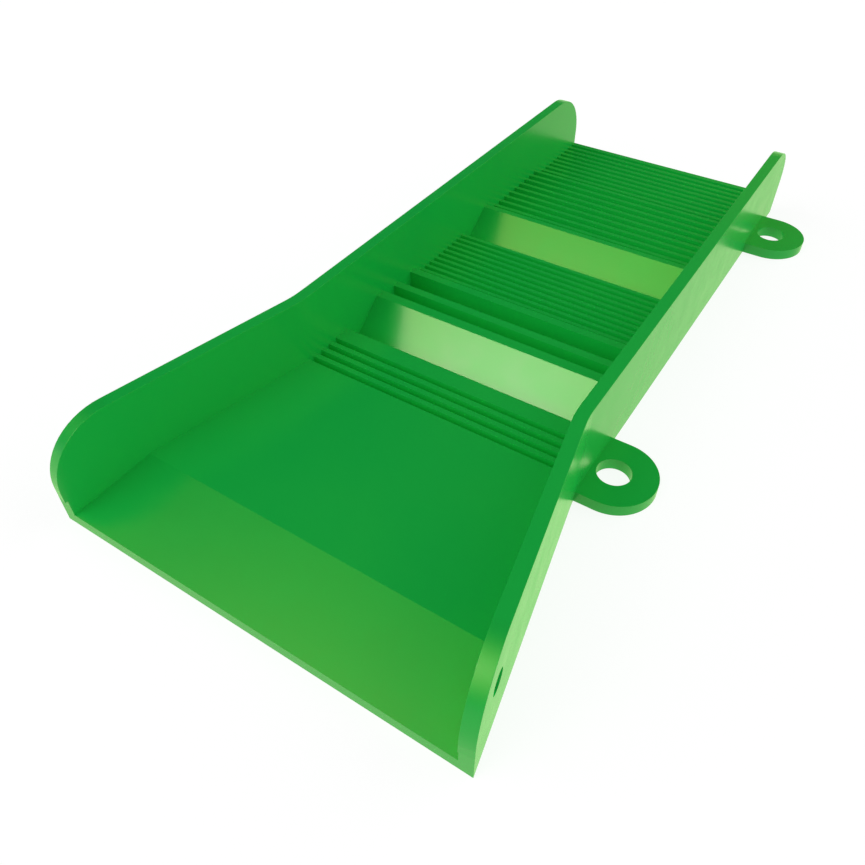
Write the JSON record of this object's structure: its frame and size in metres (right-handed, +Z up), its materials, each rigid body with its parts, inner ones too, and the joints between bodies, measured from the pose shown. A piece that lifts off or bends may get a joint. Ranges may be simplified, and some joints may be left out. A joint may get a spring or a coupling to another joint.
{
  "type": "hand sluice",
  "caption": "Pocket gold sluice: flared intake scoop and straight open channel with cross riffles, drop ramps, an open outlet and pegging lugs at the foot of its side walls.",
  "frame": {"origin": "on the ground, midway between the side walls and midway along the tray", "axes": "+X across the tray to the right seen from the mouth, +Y downstream from the mouth to the outlet, +Z up"},
  "size_m": [0.106, 0.2156, 0.025],
  "materials": {
    "green_plastic": "moulded mid-green plastic with a soft gloss"
  },
  "bodies": {
    "root": {"intake_lip": "green_plastic", "intake_floor": "green_plastic", "throat_riffle_block": "green_plastic", "upper_ramp": "green_plastic", "front_riffle_bar": "green_plastic", "rear_riffle_bar": "green_plastic", "fine_riffle_block": "green_plastic", "lower_ramp": "green_plastic", "middle_riffle_block": "green_plastic", "outlet_riffle_block": "green_plastic", "left_side_wall": "green_plastic", "right_side_wall": "green_plastic", "right_upstream_lug": "green_plastic", "right_downstream_lug": "green_plastic", "left_upstream_lug": "green_plastic", "left_downstream_lug": "green_plastic", "base_plate": "green_plastic"}
  },
  "joints": []
}
